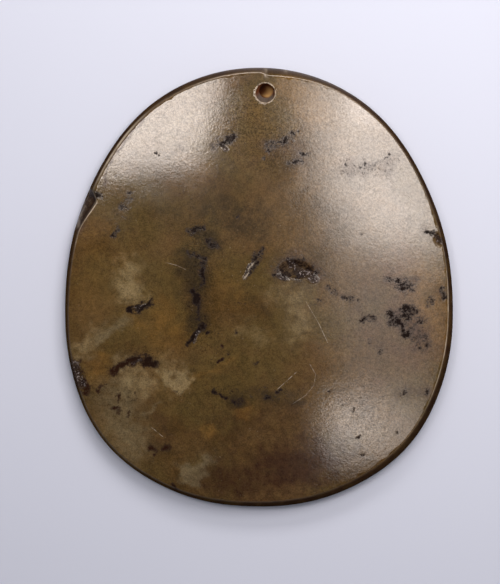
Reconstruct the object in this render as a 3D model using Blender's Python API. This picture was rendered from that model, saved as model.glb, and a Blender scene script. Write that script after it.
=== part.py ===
"""A flat stone pendant, one polished disc of jade with a cord hole near its top edge.

The disc lies on its underside. X runs across its width, Y from its middle towards the cord hole and
Z up out of the polished face. The origin is on the underside, below the middle of the outline's box.
"""

import math

import bmesh
import bpy
from mathutils import Vector

MM = 0.001

# Outline: upright egg, squarer below its widest line than above it, most of all at the lower left
HEIGHT = 70.0 * MM
WIDTH = 61.9 * MM
WAIST_ABOVE_FOOT = 31.0 * MM
UPPER_SQUARENESS = 2.08
LOWER_LEFT_SQUARENESS = 2.24
LOWER_RIGHT_SQUARENESS = 2.165
GRINDING_WOBBLE = 0.13 * MM
GRINDING_LOBES = 7
FIRST_LOBE = math.radians(12)

# Section: a low dome over a flat underside, with a ground rim between them
THICKNESS = 5.2 * MM
CROWN = 1.0 * MM
GIRDLE_HEIGHT = 2.0 * MM
RIM_RUN = 0.91 * MM
RIM_UNEVENNESS = 0.21
WIDEST_RIM = math.radians(126)
RIM_FOOT_GROWTH = 0.16
RIM_FOOT = math.radians(262)
RIM_ROUNDNESS = math.radians(58)
UNDER_RUN = 1.1 * MM
UNDER_ROUNDNESS = math.radians(70)

# Cord hole: a worn mouth over a bore that slants down to the upper left
HOLE_FROM_TOP = 4.05 * MM
HOLE_ASIDE = 1.25 * MM
MOUTH_RADIUS = 1.5 * MM
NECK_RADIUS = 1.1 * MM
NECK_HEIGHT = 3.5 * MM
NECK_SHIFT = 0.37 * MM
NECK_TURN = math.radians(71)
EXIT_RADIUS = 0.9 * MM
BORE_LEAN = math.radians(35)
BORE_TURN = math.radians(158)
LIP_WEAR = 0.15 * MM
DRILL_OVERRUN = 1.0 * MM

# Old flakes off the rim's upper edge: bite, then the directions of the head, of the full bite just
# past it and of the tail, where the bite has tapered away
FLAKES = {
    "upper_left": (1.35 * MM, math.radians(143), math.radians(145.2), math.radians(156.5)),
    "beside_hole": (0.5 * MM, math.radians(89.5), math.radians(87), math.radians(70)),
}
FLAKE_INLAND = 6.0 * MM

# Natural pits: direction and share of the outline's reach there, half length and width, lean, depth
PITS = {
    "crusted_hollow": (math.radians(49), 0.27, 3.0 * MM, 1.6 * MM, math.radians(-8), 0.32 * MM),
    "edge_hollow": (math.radians(200), 0.965, 2.5 * MM, 1.15 * MM, math.radians(-69), 0.35 * MM),
    "right_nick": (math.radians(22.4), 0.972, 1.3 * MM, 0.9 * MM, math.radians(-60), 0.3 * MM),
}
PIT_WALL = 1.25

# Fineness of the faceted surface
CORE_CELLS = 32
FACE_RINGS = 10
RIM_ROWS = 4
UNDER_ROWS = 3
HOLE_SIDES = 32
CORE_SHARE = 0.5
CORE_ROUNDING = 0.6
FIRST_CORNER = -math.pi / 4

JADE_BROWN = (0.115, 0.07, 0.03, 1.0)
JADE_ROUGHNESS = 0.25
SHARP_ANGLE = math.radians(30)

SECTORS = 4 * CORE_CELLS
ABOVE_WAIST = HEIGHT - WAIST_ABOVE_FOOT
WAIST_Y = WAIST_ABOVE_FOOT - HEIGHT / 2
HOLE_Y = HEIGHT / 2 - HOLE_FROM_TOP


def clear_scene():
    for obj in list(bpy.data.objects):
        bpy.data.objects.remove(obj)


def ease(share):
    """A smooth step from 0 to 1."""
    share = min(1.0, max(0.0, share))
    return share * share * (3 - 2 * share)


def outline_reach(direction):
    """How far the outline is from the middle of the waist, in a direction counted from +X."""
    across, along = abs(math.cos(direction)), abs(math.sin(direction))
    upper = math.sin(direction) > 0
    half_height = ABOVE_WAIST if upper else WAIST_ABOVE_FOOT
    lower_squareness = LOWER_LEFT_SQUARENESS if math.cos(direction) < 0 else LOWER_RIGHT_SQUARENESS
    squareness = UPPER_SQUARENESS if upper else lower_squareness
    reach = ((2 * across / WIDTH) ** squareness + (along / half_height) ** squareness) ** (-1 / squareness)
    off_axis = math.sin(2 * direction) ** 2
    return reach + GRINDING_WOBBLE * off_axis * math.cos(GRINDING_LOBES * (direction - FIRST_LOBE))


def rim_run(direction):
    """Width of the ground rim seen from above, without the flake."""
    unevenness = RIM_UNEVENNESS * math.cos(2 * (direction - WIDEST_RIM))
    return RIM_RUN * (1 + unevenness + RIM_FOOT_GROWTH * math.cos(direction - RIM_FOOT))


def flake_bite(direction):
    """How much further in the flakes take the rim's upper edge."""
    direction %= 2 * math.pi
    total = 0.0
    for bite, head, full, tail in FLAKES.values():
        rise = ease((direction - head) / (full - head))
        fall = 1 - ease((direction - head) / (tail - head))
        total += bite * rise * fall
    return total


def pit_depth(x, y):
    """Depth of the natural pits at a point of the face."""
    depth = 0.0
    for direction, share, half_length, half_width, lean, deepest in PITS.values():
        middle_x, middle_y = on_disc(direction, share * outline_reach(direction))
        aside, ahead = x - middle_x, y - middle_y
        along = (aside * math.cos(lean) + ahead * math.sin(lean)) / half_length
        over = (ahead * math.cos(lean) - aside * math.sin(lean)) / half_width
        depth += deepest * ease(PIT_WALL * (1 - math.hypot(along, over)))
    return depth


def face_height(x, y):
    """Height of the domed face."""
    return THICKNESS - CROWN * ((2 * x / WIDTH) ** 2 + (2 * y / HEIGHT) ** 2) - pit_depth(x, y)


def on_disc(direction, reach):
    """The point at that distance from the middle of the waist."""
    return reach * math.cos(direction), WAIST_Y + reach * math.sin(direction)


def core_point(column, row):
    """A node of the square core of the disc's grid, as direction and share of the face's reach."""
    across, along = (math.tan(math.pi / 4 * (2 * n / CORE_CELLS - 1)) for n in (column, row))
    border = max(abs(across), abs(along))
    direction = math.atan2(along, across)
    rounding = CORE_ROUNDING * border * border
    return direction, CORE_SHARE * ((1 - rounding) * math.hypot(across, along) + rounding * border)


def border_nodes():
    """Columns and rows round the core's border, anticlockwise from its lower right corner."""
    last = CORE_CELLS
    right = [(last, n) for n in range(last)]
    top = [(last - n, last) for n in range(last)]
    left = [(0, last - n) for n in range(last)]
    bottom = [(n, 0) for n in range(last)]
    return right + top + left + bottom


def face_point(direction, share):
    """A point of the face, where share runs from 0 at the middle to 1 at the rim's upper edge."""
    reach = share * (outline_reach(direction) - rim_run(direction))
    to_edge = (1 - share) * outline_reach(direction) / FLAKE_INLAND
    x, y = on_disc(direction, reach - flake_bite(direction) * ease(1 - to_edge))
    return Vector((x, y, face_height(x, y)))


def rim_point(direction, share):
    """A point of the ground rim, where share runs from 0 at its upper edge to 1 at the girdle."""
    top = face_point(direction, 1.0)
    turn = (1 - share) * RIM_ROUNDNESS
    inward = (1 - math.cos(turn)) / (1 - math.cos(RIM_ROUNDNESS))
    upward = math.sin(turn) / math.sin(RIM_ROUNDNESS)
    run = rim_run(direction) + flake_bite(direction)
    x, y = on_disc(direction, outline_reach(direction) - run * inward)
    return Vector((x, y, GIRDLE_HEIGHT + (top.z - GIRDLE_HEIGHT) * upward))


def under_point(direction, share):
    """A point below the girdle, where share runs from 0 there to 1 at the underside's edge."""
    turn = share * UNDER_ROUNDNESS
    inward = (1 - math.cos(turn)) / (1 - math.cos(UNDER_ROUNDNESS))
    downward = math.sin(turn) / math.sin(UNDER_ROUNDNESS)
    x, y = on_disc(direction, outline_reach(direction) - UNDER_RUN * inward)
    return Vector((x, y, GIRDLE_HEIGHT * (1 - downward)))


def sector_direction(n):
    """Direction of the nth meridian, counted from the core's lower right corner."""
    return FIRST_CORNER + 2 * math.pi * n / SECTORS


def loop_of(shape, make_point, share):
    """A closed row of points round the disc."""
    return [shape.verts.new(make_point(sector_direction(n), share)) for n in range(SECTORS)]


def bridge(shape, inner, outer):
    """Quads between two closed rows, seen anticlockwise from outside the disc."""
    for n in range(SECTORS):
        following = (n + 1) % SECTORS
        shape.faces.new((inner[n], outer[n], outer[following], inner[following]))


def add_material(obj, name, colour, roughness):
    material = bpy.data.materials.new(name)
    material.use_nodes = True
    shader = material.node_tree.nodes["Principled BSDF"]
    shader.inputs["Base Color"].default_value = colour
    shader.inputs["Roughness"].default_value = roughness
    shader.inputs["Metallic"].default_value = 0.0
    obj.data.materials.append(material)


def new_object(name, shape):
    mesh = bpy.data.meshes.new(name)
    shape.to_mesh(mesh)
    shape.free()
    obj = bpy.data.objects.new(name, mesh)
    bpy.context.scene.collection.objects.link(obj)
    return obj


def make_disc():
    """The closed disc before it is drilled."""
    shape = bmesh.new()
    nodes = range(CORE_CELLS + 1)
    core = {(c, r): shape.verts.new(face_point(*core_point(c, r))) for c in nodes for r in nodes}
    for column in range(CORE_CELLS):
        for row in range(CORE_CELLS):
            corners = ((column, row), (column + 1, row), (column + 1, row + 1), (column, row + 1))
            shape.faces.new([core[corner] for corner in corners])
    border = border_nodes()
    last = [core[node] for node in border]
    core_shares = [core_point(*node)[1] for node in border]
    for ring in range(1, FACE_RINGS + 1):
        out = ring / FACE_RINGS
        shares = [core_share + (1 - core_share) * out for core_share in core_shares]
        row = [shape.verts.new(face_point(sector_direction(n), share)) for n, share in enumerate(shares)]
        bridge(shape, last, row)
        last = row
    for n in range(1, RIM_ROWS + 1):
        row = loop_of(shape, rim_point, n / RIM_ROWS)
        bridge(shape, last, row)
        last = row
    for n in range(1, UNDER_ROWS + 1):
        row = loop_of(shape, under_point, n / UNDER_ROWS)
        bridge(shape, last, row)
        last = row
    shape.faces.new(reversed(last))
    return new_object("jade_pendant", shape)


def make_drill():
    """The cutter of the cord hole: a slanting bore under a mouth with worn lips."""
    face = face_height(HOLE_ASIDE, HOLE_Y)
    slant = NECK_HEIGHT * math.tan(BORE_LEAN)
    neck_x = HOLE_ASIDE + NECK_SHIFT * math.cos(NECK_TURN)
    neck_y = HOLE_Y + NECK_SHIFT * math.sin(NECK_TURN)
    exit_x = neck_x + slant * math.cos(BORE_TURN)
    exit_y = neck_y + slant * math.sin(BORE_TURN)
    profile = (
        (EXIT_RADIUS + LIP_WEAR + DRILL_OVERRUN, -DRILL_OVERRUN, exit_x, exit_y),
        (EXIT_RADIUS, LIP_WEAR, exit_x, exit_y),
        (NECK_RADIUS, NECK_HEIGHT, neck_x, neck_y),
        (MOUTH_RADIUS, face - LIP_WEAR, HOLE_ASIDE, HOLE_Y),
        (MOUTH_RADIUS + LIP_WEAR + DRILL_OVERRUN, face + DRILL_OVERRUN, HOLE_ASIDE, HOLE_Y),
    )
    shape = bmesh.new()
    rows = []
    for radius, height, middle_x, middle_y in profile:
        row = []
        for n in range(HOLE_SIDES):
            turn = 2 * math.pi * n / HOLE_SIDES
            x, y = middle_x + radius * math.cos(turn), middle_y + radius * math.sin(turn)
            row.append(shape.verts.new((x, y, height)))
        rows.append(row)
    for lower, upper in zip(rows, rows[1:]):
        for n in range(HOLE_SIDES):
            following = (n + 1) % HOLE_SIDES
            shape.faces.new((lower[n], lower[following], upper[following], upper[n]))
    shape.faces.new(reversed(rows[0]))
    shape.faces.new(rows[-1])
    drill = new_object("cord_hole_drill", shape)
    drill.hide_render = True
    drill.display_type = "WIRE"
    return drill


def main():
    clear_scene()
    pendant = make_disc()
    add_material(pendant, "polished jade", JADE_BROWN, JADE_ROUGHNESS)
    pendant.data.shade_smooth()
    pendant.data.set_sharp_from_angle(angle=SHARP_ANGLE)
    hole = pendant.modifiers.new("cord hole", "BOOLEAN")
    hole.operation = "DIFFERENCE"
    hole.object = make_drill()


main()
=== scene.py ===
"""The looks of a flat jade pendant: its polished and veined stone, a pale floor, soft light and the camera.

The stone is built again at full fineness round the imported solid, in the same place and at the same size:
X runs across its width, Y towards the cord hole and Z up out of the polished face, from the middle of
the underside. Places on the face were read from the photograph and are given in millimetres.
"""

import math
from functools import partial

import bpy
import numpy as np
from mathutils import Matrix, Vector


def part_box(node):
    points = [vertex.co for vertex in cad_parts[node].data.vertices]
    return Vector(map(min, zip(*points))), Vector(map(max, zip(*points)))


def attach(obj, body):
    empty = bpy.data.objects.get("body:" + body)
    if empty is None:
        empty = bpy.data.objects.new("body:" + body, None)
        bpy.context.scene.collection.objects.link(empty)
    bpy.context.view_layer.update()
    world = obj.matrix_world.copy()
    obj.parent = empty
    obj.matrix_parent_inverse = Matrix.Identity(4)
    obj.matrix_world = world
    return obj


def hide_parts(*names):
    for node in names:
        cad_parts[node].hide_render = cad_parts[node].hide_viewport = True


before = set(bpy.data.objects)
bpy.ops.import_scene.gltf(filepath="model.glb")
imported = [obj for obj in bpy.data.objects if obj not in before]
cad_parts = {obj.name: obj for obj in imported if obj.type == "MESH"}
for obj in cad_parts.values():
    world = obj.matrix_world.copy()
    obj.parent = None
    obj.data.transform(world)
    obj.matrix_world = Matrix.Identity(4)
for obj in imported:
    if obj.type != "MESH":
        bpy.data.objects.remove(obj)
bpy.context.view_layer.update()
NODE = "jade_pendant"
LOW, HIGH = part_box(NODE)

MM = 0.001
SEED = 11

# Outline, the same egg as the solid's
HEIGHT = HIGH.y - LOW.y
WIDTH = HIGH.x - LOW.x
WAIST_ABOVE_FOOT = 31.0 * MM
UPPER_SQUARENESS = 2.08
LOWER_LEFT_SQUARENESS = 2.24
LOWER_RIGHT_SQUARENESS = 2.165
GRINDING_WOBBLE = 0.13 * MM
GRINDING_LOBES = 7
FIRST_LOBE = math.radians(12)

# Section
THICKNESS = 5.2 * MM
CROWN = 1.0 * MM
GIRDLE_HEIGHT = 2.0 * MM
RIM_RUN = 0.91 * MM
RIM_UNEVENNESS = 0.21
WIDEST_RIM = math.radians(126)
RIM_FOOT_GROWTH = 0.16
RIM_FOOT = math.radians(262)
RIM_ROUNDNESS = math.radians(58)
UNDER_RUN = 1.1 * MM
UNDER_ROUNDNESS = math.radians(70)
UNDER_MARGIN = 0.6 * MM

# Cord hole: a worn mouth over a bore that slants down to the upper left
HOLE_FROM_TOP = 4.05 * MM
HOLE_X = 1.25 * MM
MOUTH_RADIUS = 1.5 * MM
NECK_RADIUS = 1.1 * MM
NECK_HEIGHT = 3.5 * MM
NECK_SHIFT = 0.37 * MM
NECK_TURN = math.radians(71)
EXIT_RADIUS = 0.9 * MM
BORE_LEAN = math.radians(35)
BORE_TURN = math.radians(158)
LIP_WEAR = 0.15 * MM
LIP_CHIPS = 0.1 * MM
LIP_CHIP_WAVES = range(3, 17)
DRILL_OVERRUN = 1.0 * MM

# Old flakes off the rim's upper edge: bite, then the directions of the head, of the full bite just
# past it and of the tail, where the bite has tapered away
FLAKES = {
    "upper_left": (1.35 * MM, math.radians(143), math.radians(145.2), math.radians(156.5)),
    "beside_hole": (0.5 * MM, math.radians(89.5), math.radians(87), math.radians(70)),
}
FLAKE_INLAND = 6.0 * MM
FLAKE_HOLLOW = 0.3 * MM

# Natural pits: direction and share of the outline's reach there, half length and width, lean, depth
PITS = {
    "crusted_hollow": (math.radians(49), 0.27, 3.0 * MM, 1.6 * MM, math.radians(-8), 0.32 * MM),
    "edge_hollow": (math.radians(200), 0.965, 2.5 * MM, 1.15 * MM, math.radians(-69), 0.35 * MM),
    "right_nick": (math.radians(22.4), 0.972, 1.3 * MM, 0.9 * MM, math.radians(-60), 0.3 * MM),
}
PIT_WALL = 1.25

# Fineness: about 0.2 mm between points on the face
CORE_CELLS = 184
FACE_RINGS = 58
RIM_ROWS = 12
UNDER_ROWS = 6
HOLE_SIDES = 96
HOLE_ROWS = 10
CORE_SHARE = 0.6
CORE_ROUNDING = 0.6
FIRST_CORNER = -math.pi / 4
SECTORS = 4 * CORE_CELLS

WAIST_Y = LOW.y + WAIST_ABOVE_FOOT
ABOVE_WAIST = HEIGHT - WAIST_ABOVE_FOOT
HOLE_Y = HIGH.y - HOLE_FROM_TOP

# How far the marks stray from their drawn lines, and the share of it that is quick along them
WANDER = 0.2 * MM
WANDER_LENGTH = 3 * MM
FRAY_SHARE = 0.35
FRAY_LENGTH = 0.9 * MM
RIPPLES = 14
RIPPLE_SPREAD = (0.5, 2.2)

# Marks on the face: half width in mm, strength, and the line that each follows in mm
INK = {
    "upper_left_blot": (0.95, 0.65, [(-6.9, 22.9), (-4.9, 23.4), (-3.4, 24.4)]),
    "upper_left_blot_core": (0.6, 1.15, [(-5.8, 22.9), (-4.9, 23.4), (-4.0, 24.0)]),
    "first_pinhole": (0.3, 1.1, [(-16.1, 21.7)]),
    "second_pinhole": (0.24, 0.9, [(-15.5, 21.3)]),
    "seam_pit": (0.4, 0.9, [(-22.4, 18.0)]),
    "seam_dot": (0.25, 0.8, [(-18.3, 18.6)]),
    "left_smudge": (0.9, 0.75, [(-20.0, 14.6), (-21.0, 13.2)]),
    "left_smudge_core": (0.4, 1.0, [(-19.9, 14.0)]),
    "left_dab": (0.6, 0.75, [(-22.9, 8.4), (-22.3, 9.2)]),
    "vein_head": (0.6, 0.95, [(-10.9, 9.5), (-9.4, 9.5), (-8.2, 9.7)]),
    "vein_head_core": (0.4, 1.2, [(-9.0, 9.6), (-8.3, 9.7)]),
    "vein_head_foot": (0.6, 0.6, [(-10.5, 8.9)]),
    "vein_neck": (0.8, 0.8, [(-7.4, 7.5), (-6.6, 7.2)]),
    "vein_upper": (0.45, 1.0, [(-10.9, 5.9), (-9.7, 5.3), (-8.4, 5.3), (-7.8, 4.8)]),
    "vein_upper_core": (0.55, 1.05, [(-8.5, 4.0), (-8.8, 2.9), (-8.7, 1.2)]),
    "vein_middle": (0.55, 1.35, [(-10.2, -0.3), (-9.8, -1.1), (-9.3, -2.3)]),
    "vein_thread": (0.45, 0.8, [(-9.3, -2.6), (-9.3, -4.6), (-9.0, -5.6)]),
    "vein_foot": (0.52, 1.35, [(-8.8, -5.8), (-9.4, -6.8), (-10.2, -8.0), (-10.8, -8.7)]),
    "centre_dot": (0.4, 0.9, [(-2.9, 11.4)]),
    "left_slash": (0.68, 1.15, [(-20.1, -3.5), (-19.2, -3.1), (-17.6, -2.5), (-17.2, -2.3)]),
    "arc": (
        0.72,
        1.3,
        [(-23.2, -13.2), (-22.0, -12.6), (-20.4, -11.6), (-18.9, -11.2), (-17.8, -11.6), (-16.2, -11.9)],
    ),
    "arc_core": (0.65, 1.5, [(-20.6, -11.7), (-18.9, -11.2)]),
    "arc_top": (0.5, 0.7, [(-19.4, -10.5), (-17.6, -10.7), (-16.1, -10.9)]),
    "edge_dash": (0.45, 0.75, [(-25.6, -16.3), (-24.8, -15.7), (-24.2, -14.9)]),
    "lower_ring": (0.24, 0.65, [(-22.7, -17.2), (-22.0, -16.8), (-21.8, -17.6), (-22.2, -18.2)]),
    "lower_dab_a": (0.45, 0.95, [(-23.1, -19.1), (-22.4, -19.3), (-21.9, -19.9)]),
    "lower_dab_b": (0.35, 0.85, [(-20.4, -19.6), (-20.4, -20.4)]),
    "lower_dash": (0.25, 0.7, [(-19.6, -17.4), (-19.3, -16.6)]),
    "spot_dots": (0.3, 0.75, [(-13.7, -16.4), (-12.9, -16.1)]),
    "brown_blotch_a": (0.6, 1.15, [(-17.2, -25.5), (-16.3, -25.7)]),
    "brown_blotch_b": (0.55, 1.15, [(-14.9, -25.6), (-14.0, -25.0)]),
    "brown_blotch_c": (0.35, 0.8, [(-16.5, -26.4)]),
    "edge_crack": (0.35, 0.8, [(-13.6, -31.2), (-13.0, -32.2)]),
    "crack_dots": (0.36, 1.3, [(-5.6, -9.2)]),
    "crack_dot_b": (0.34, 1.2, [(-3.0, -6.5)]),
    "crack_dot_c": (0.32, 1.2, [(-8.0, -7.0)]),
    "crack_dot_d": (0.26, 1.1, [(-4.7, -10.4)]),
    "crack_dot_e": (0.26, 1.2, [(-5.6, -11.1), (-6.1, -11.6)]),
    "crack": (0.4, 1.0, [(-6.8, -16.0), (-5.6, -16.7), (-4.9, -17.5)]),
    "crack_patch": (0.6, 0.7, [(-3.6, -17.9), (-2.6, -17.7)]),
    "middle_dash": (0.25, 0.7, [(-3.2, -2.2), (-2.2, -2.3)]),
    "upper_blot_a": (0.9, 0.85, [(1.7, 22.2), (3.0, 22.8)]),
    "upper_blot_b": (0.9, 0.9, [(4.0, 23.2), (5.2, 24.1)]),
    "upper_blot_c": (0.7, 0.85, [(5.3, 20.0), (6.7, 20.5)]),
    "upper_blot_d": (0.6, 0.8, [(6.9, 21.4), (8.1, 21.3)]),
    "upper_dot": (0.36, 0.9, [(0.9, 20.9)]),
    "right_pit_a": (0.36, 1.0, [(14.0, 19.7)]),
    "right_pit_b": (0.3, 0.85, [(16.2, 19.2)]),
    "right_seam": (0.4, 0.5, [(14.8, 19.4), (18.4, 19.8), (20.9, 21.5)]),
    "top_dot": (0.3, 0.9, [(6.5, 24.9)]),
    "right_dot": (0.34, 0.9, [(16.3, 8.8)]),
    "crusted_arc": (0.9, 0.75, [(3.6, 3.4), (4.7, 4.1), (6.0, 4.6), (7.3, 4.2), (8.4, 3.4), (9.2, 2.4)]),
    "crusted_left": (0.4, 0.9, [(2.8, 2.3)]),
    "crusted_middle": (1.2, 0.75, [(4.4, 2.6), (6.8, 2.4)]),
    "middle_slash": (0.6, 1.2, [(-1.5, 2.4), (-0.7, 3.8), (-0.2, 4.8), (0.8, 6.2)]),
    "right_spot": (1.3, 0.8, [(22.7, 0.9), (24.2, 0.5)]),
    "right_spot_core": (0.55, 1.0, [(22.5, 1.2), (23.0, 0.3), (24.4, 0.2)]),
    "right_spot_beside": (0.6, 0.6, [(20.5, 1.5), (21.2, 1.6)]),
    "small_spot": (0.8, 0.75, [(11.8, 0.3), (12.2, -0.4)]),
    "right_dash": (0.6, 0.65, [(14.0, -1.5), (15.6, -1.8)]),
    "right_patch": (1.25, 0.98, [(21.3, -4.4), (22.8, -4.9)]),
    "right_patch_top": (1.5, 0.92, [(23.2, -4.2), (24.2, -3.3)]),
    "right_patch_side": (1.4, 0.58, [(24.6, -4.0), (26.0, -4.5), (25.2, -5.8)]),
    "right_patch_link": (0.5, 0.55, [(22.8, -5.4), (22.9, -6.6)]),
    "right_patch_core": (0.8, 1.15, [(23.3, -7.0), (24.0, -7.1)]),
    "right_patch_tail": (1.3, 0.6, [(25.2, -8.4), (26.7, -8.2)]),
    "right_patch_end": (0.8, 0.85, [(25.8, -9.2)]),
    "right_haze_dot": (0.75, 0.55, [(27.0, -2.2), (27.6, -1.5)]),
    "right_dab": (0.9, 0.75, [(16.9, -4.6), (18.0, -4.4)]),
    "middle_dab": (0.6, 0.6, [(8.9, -2.3), (9.8, -1.9)]),
    "low_right_dab_a": (0.8, 0.65, [(19.6, -9.5)]),
    "low_right_dab_b": (0.6, 0.5, [(17.7, -8.3)]),
    "edge_dab_a": (0.7, 0.65, [(23.3, -16.5)]),
    "edge_dab_b": (0.7, 0.65, [(26.7, -15.9)]),
    "bottom_dot_a": (0.24, 0.55, [(15.3, -18.5), (15.2, -19.1)]),
    "bottom_dot_b": (0.3, 0.7, [(15.7, -23.4), (16.5, -23.2)]),
    "bottom_dot_c": (0.34, 0.75, [(16.4, -26.5), (16.8, -26.7)]),
    "bottom_dot_d": (0.34, 0.85, [(22.1, -22.6), (22.1, -23.1)]),
    "bottom_dot_e": (0.36, 0.7, [(11.1, -16.1)]),
    "lower_black_spot": (0.42, 1.15, [(1.3, -16.9), (1.9, -16.9)]),
    "lower_black_dash": (0.36, 0.95, [(3.2, -16.4), (3.9, -15.9)]),
    "lower_middle_dot": (0.35, 0.95, [(-0.1, -11.4)]),
    "notch_edge": (0.5, 0.9, [(26.6, 9.2), (28.4, 8.6), (29.4, 6.8), (30.0, 5.2)]),
    "edge_spot": (0.6, 0.9, [(29.2, 0.2), (29.4, -1.0)]),
    "flake_head": (0.55, 1.1, [(-26.6, 15.0), (-25.6, 14.6), (-24.8, 14.6)]),
    "rim_patch": (0.5, 0.8, [(28.0, -17.2), (26.8, -19.3)]),
    "edge_hollow": (1.7, 0.75, [(-29.3, -12.0), (-28.7, -13.9), (-27.8, -16.0)]),
    "edge_hollow_head": (0.4, 0.95, [(-28.8, -11.7), (-28.3, -12.5)]),
    "edge_hollow_border": (0.5, 1.1, [(-27.6, -14.6), (-27.1, -15.7), (-27.5, -16.6)]),
}
CRUST = {
    "crusted_hollow": (0.8, 1.0, [(6.4, 2.9), (7.6, 2.4), (9.0, 1.6)]),
    "crusted_hollow_left": (0.5, 0.8, [(3.4, 2.3), (4.6, 1.7)]),
    "crusted_hollow_top": (0.8, 0.7, [(5.2, 4.0), (7.0, 3.3)]),
    "vein_foot": (0.4, 0.8, [(-9.3, -6.9), (-9.8, -8.4)]),
    "middle_slash": (0.42, 1.1, [(-2.0, 2.0), (-1.4, 2.9), (-1.0, 3.8)]),
    "left_slash": (0.4, 0.55, [(-19.0, -3.3), (-17.8, -2.4)]),
    "arc": (0.35, 0.6, [(-19.9, -11.8), (-18.3, -11.4)]),
    "upper_left_blot": (0.45, 0.85, [(-5.4, 22.7), (-4.6, 22.0)]),
    "upper_blot": (0.3, 0.8, [(5.6, 23.4)]),
    "edge_hollow": (1.3, 0.85, [(-29.2, -12.4), (-28.7, -14.0), (-28.2, -15.2)]),
    "right_spot": (0.3, 0.35, [(23.2, -0.7), (24.0, -0.8)]),
    "right_notch": (0.6, 0.8, [(28.2, 8.4), (29.0, 7.4)]),
}
SPECKS = {
    "lower_left": (2.6, 0.9, [(-22.5, -17.0), (-20.0, -20.0)]),
    "yellow_spot": (2.2, 0.8, [(-13.5, -16.0), (-11.5, -19.0)]),
    "dotted_seam": (0.9, 1.0, [(-9.5, -12.5), (-5.0, -9.0), (-7.0, -5.5)]),
    "vein": (1.8, 0.5, [(-10.4, 10.0), (-8.3, 4.0), (-9.2, -2.0), (-9.6, -8.0)]),
    "arc": (1.8, 0.7, [(-22.0, -11.5), (-16.0, -10.5)]),
    "left_slash": (1.6, 0.7, [(-20.0, -3.6), (-16.6, -1.0)]),
    "right_patch": (3.4, 0.5, [(21.8, -4.4), (23.5, -7.0), (26.0, -8.6)]),
    "right_spot": (1.9, 0.45, [(20.5, 1.6), (24.0, 0.6)]),
    "right_seam": (2.2, 0.75, [(13.8, 19.6), (17.0, 18.6), (21.5, 19.5)]),
    "upper_blots": (2.0, 0.5, [(1.6, 22.0), (5.0, 23.4), (7.5, 20.6)]),
    "upper_left_blot": (1.8, 0.5, [(-8.5, 22.0), (-3.6, 24.0)]),
    "crusted_hollow": (1.8, 0.8, [(3.0, 3.4), (6.0, 4.8), (9.5, 3.0)]),
    "crack": (1.3, 0.8, [(-7.0, -16.0), (4.0, -16.6)]),
    "lower_right": (3.5, 0.4, [(15.0, -19.0), (18.0, -25.0)]),
    "left_smudge": (1.6, 0.5, [(-20.0, 14.6), (-22.9, 8.6)]),
}

# Where iron has stained the dark marks brown
RUST = {
    "lower_left": (7.5, 1.1, [(-22.0, -17.5), (-15.0, -24.5)]),
    "dotted_seam": (2.2, 0.8, [(-12.0, -14.0), (-5.0, -9.0)]),
    "edge_hollow": (2.8, 0.9, [(-29.0, -12.0), (-27.5, -16.0)]),
}

# Stains and clouds
HAZE = {
    "left_smudge": (1.2, 0.35, [(-20.4, 14.4), (-21.9, 12.6), (-21.7, 10.8)]),
    "faint_blue": (0.9, 0.4, [(-12.4, 14.5)]),
    "upper_blots": (1.6, 0.55, [(1.8, 22.3), (5.0, 23.4), (7.0, 20.6)]),
    "upper_left_blot": (1.5, 0.5, [(-6.5, 22.4), (-4.2, 23.4)]),
    "rosy_right": (6.5, 0.4, [(17.0, 1.0), (21.0, -9.0)]),
    "right_patch": (2.3, 0.85, [(22.0, -4.6), (24.6, -5.6), (26.0, -8.3)]),
    "right_edge": (1.6, 0.6, [(22.9, -16.5), (27.0, -15.9)]),
    "right_spot": (1.6, 0.65, [(20.6, 1.6), (24.4, 0.8)]),
    "right_dabs": (1.2, 0.5, [(11.9, 0.1), (15.0, -1.9), (17.8, -4.4)]),
    "low_right_dabs": (1.2, 0.45, [(17.7, -8.3), (19.7, -9.6)]),
    "purple_right": (1.1, 0.4, [(23.3, 15.3)]),
    "crusted_hollow": (2.0, 0.75, [(3.6, 3.2), (6.2, 4.2), (9.0, 2.4)]),
    "edge_spot": (1.4, 0.6, [(29.0, -0.4)]),
    "bright_seam": (1.5, 0.5, [(-12.6, 22.4)]),
    "right_seam": (1.6, 0.6, [(13.6, 19.3), (17.4, 18.8), (21.2, 20.4)]),
    "right_seam_foot": (1.3, 0.6, [(18.8, 19.2), (20.8, 18.2)]),
    "middle_slash": (1.0, 0.3, [(-1.0, 3.4), (0.5, 6.2)]),
    "arc": (1.4, 0.25, [(-21.4, -11.6), (-16.6, -10.8)]),
    "notch": (1.1, 0.5, [(26.0, 9.4), (28.6, 8.0)]),
    "flake": (1.3, 0.7, [(-27.2, 13.2), (-29.0, 9.4)]),
    # A darker, duller band inside the facet line, where the gloss breaks off
    "facet_line": (0.34, 1.0, [(-18.0, 27.1), (-20.5, 24.3), (-22.3, 21.7), (-23.5, 19.5), (-24.7, 16.4)]),
}
DUSK = {
    "upper_middle": (4.2, 0.75, [(-6.5, 13.0), (-1.0, 10.5)]),
    "vein": (1.8, 0.95, [(-9.4, 9.0), (-7.0, 7.6), (-8.6, 5.0), (-9.6, 3.4), (-9.6, -1.0), (-9.3, -5.6)]),
    "vein_patch": (2.6, 1.3, [(-10.2, 4.4), (-9.8, 1.2)]),
    "blue_green": (2.6, 0.45, [(-15.0, 12.4), (-13.4, 11.8)]),
    "middle_cloud_heart": (1.6, 0.45, [(-0.6, -1.8), (1.6, -3.0)]),
    "crack_patch": (1.4, 0.85, [(-4.4, -17.6), (-2.6, -17.6)]),
    "lower_band": (1.3, 0.6, [(-3.0, -17.0), (1.5, -16.7), (6.4, -17.6)]),
    "below_vein": (1.8, 0.4, [(-9.6, -10.6), (-11.2, -12.4)]),
    "brown_blotches": (1.5, 0.6, [(-16.6, -25.2), (-14.2, -25.4)]),
    "brown_patch": (1.7, 0.45, [(-15.6, -20.6), (-14.4, -23.2)]),
}
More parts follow.
